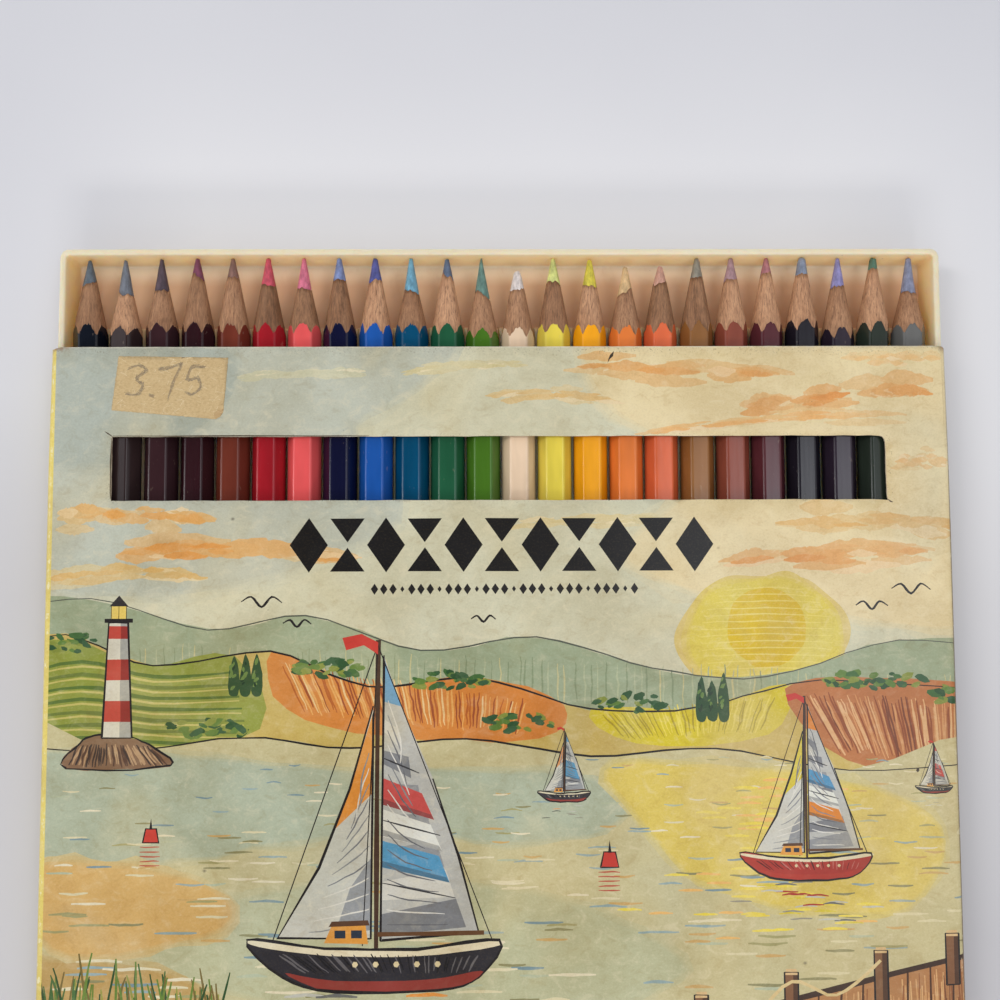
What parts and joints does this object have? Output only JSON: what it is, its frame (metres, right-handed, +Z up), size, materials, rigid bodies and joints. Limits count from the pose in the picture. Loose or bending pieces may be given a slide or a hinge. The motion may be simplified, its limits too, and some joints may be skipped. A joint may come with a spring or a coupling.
{
  "type": "colored pencil box",
  "caption": "Flat slide box: a printed board sleeve with a long window, and a moulded tray that slides out with a row of sharpened hexagonal colored pencils.",
  "frame": {"origin": "middle of the sleeve's flat underside", "axes": "+Z up out of the printed top panel, +Y along the pencils towards their points, +X to the right"},
  "size_m": [0.2062, 0.2059, 0.0116],
  "materials": {
    "printed_board": "semi-gloss print",
    "tray_plastic": "satin moulded",
    "paper_tape": "matte",
    "paint_blue_black": "gloss paint over wood",
    "lead_blue_black": "waxy pigment",
    "paint_dark_brown": "gloss paint over wood",
    "lead_dark_brown": "waxy pigment",
    "paint_maroon_brown": "gloss paint over wood",
    "lead_maroon_brown": "waxy pigment",
    "paint_plum": "gloss paint over wood",
    "lead_plum": "waxy pigment",
    "paint_red_brown": "gloss paint over wood",
    "lead_red_brown": "waxy pigment",
    "paint_red": "gloss paint over wood",
    "lead_red": "waxy pigment",
    "paint_coral": "gloss paint over wood",
    "lead_coral": "waxy pigment",
    "paint_navy": "gloss paint over wood",
    "lead_navy": "waxy pigment",
    "paint_blue": "gloss paint over wood",
    "lead_blue": "waxy pigment",
    "paint_teal_blue": "gloss paint over wood",
    "lead_teal_blue": "waxy pigment",
    "paint_green": "gloss paint over wood",
    "lead_green": "waxy pigment",
    "paint_leaf_green": "gloss paint over wood",
    "lead_leaf_green": "waxy pigment",
    "paint_flesh": "gloss paint over wood",
    "lead_flesh": "waxy pigment",
    "paint_lemon_yellow": "gloss paint over wood",
    "lead_lemon_yellow": "waxy pigment",
    "paint_orange_yellow": "gloss paint over wood",
    "lead_orange_yellow": "waxy pigment",
    "paint_orange": "gloss paint over wood",
    "lead_orange": "waxy pigment",
    "paint_vermilion": "gloss paint over wood",
    "lead_vermilion": "waxy pigment",
    "paint_ochre": "gloss paint over wood",
    "lead_ochre": "waxy pigment",
    "paint_rust": "gloss paint over wood",
    "lead_rust": "waxy pigment",
    "paint_wine": "gloss paint over wood",
    "lead_wine": "waxy pigment",
    "paint_black": "gloss paint over wood",
    "lead_black": "waxy pigment",
    "paint_dark_violet": "gloss paint over wood",
    "lead_dark_violet": "waxy pigment",
    "paint_dark_green": "gloss paint over wood",
    "lead_dark_green": "waxy pigment",
    "paint_grey": "gloss paint over wood",
    "lead_grey": "waxy pigment"
  },
  "bodies": {
    "sleeve": {"sleeve": "printed_board", "price_tape": "paper_tape"},
    "tray": {"tray": "tray_plastic", "pencil_01_casing": "paint_blue_black", "pencil_01_lead": "lead_blue_black", "pencil_02_casing": "paint_dark_brown", "pencil_02_lead": "lead_dark_brown", "pencil_03_casing": "paint_maroon_brown", "pencil_03_lead": "lead_maroon_brown", "pencil_04_casing": "paint_plum", "pencil_04_lead": "lead_plum", "pencil_05_casing": "paint_red_brown", "pencil_05_lead": "lead_red_brown", "pencil_06_casing": "paint_red", "pencil_06_lead": "lead_red", "pencil_07_casing": "paint_coral", "pencil_07_lead": "lead_coral", "pencil_08_casing": "paint_navy", "pencil_08_lead": "lead_navy", "pencil_09_casing": "paint_blue", "pencil_09_lead": "lead_blue", "pencil_10_casing": "paint_teal_blue", "pencil_10_lead": "lead_teal_blue", "pencil_11_casing": "paint_green", "pencil_11_lead": "lead_green", "pencil_12_casing": "paint_leaf_green", "pencil_12_lead": "lead_leaf_green", "pencil_13_casing": "paint_flesh", "pencil_13_lead": "lead_flesh", "pencil_14_casing": "paint_lemon_yellow", "pencil_14_lead": "lead_lemon_yellow", "pencil_15_casing": "paint_orange_yellow", "pencil_15_lead": "lead_orange_yellow", "pencil_16_casing": "paint_orange", "pencil_16_lead": "lead_orange", "pencil_17_casing": "paint_vermilion", "pencil_17_lead": "lead_vermilion", "pencil_18_casing": "paint_ochre", "pencil_18_lead": "lead_ochre", "pencil_19_casing": "paint_rust", "pencil_19_lead": "lead_rust", "pencil_20_casing": "paint_wine", "pencil_20_lead": "lead_wine", "pencil_21_casing": "paint_black", "pencil_21_lead": "lead_black", "pencil_22_casing": "paint_dark_violet", "pencil_22_lead": "lead_dark_violet", "pencil_23_casing": "paint_dark_green", "pencil_23_lead": "lead_dark_green", "pencil_24_casing": "paint_grey", "pencil_24_lead": "lead_grey"}
  },
  "joints": [
    {"name": "tray_slide", "type": "slide", "parent": "sleeve", "child": "tray", "axis": [0, 1, 0], "range_m": [-0.0237, 0.15]}
  ]
}
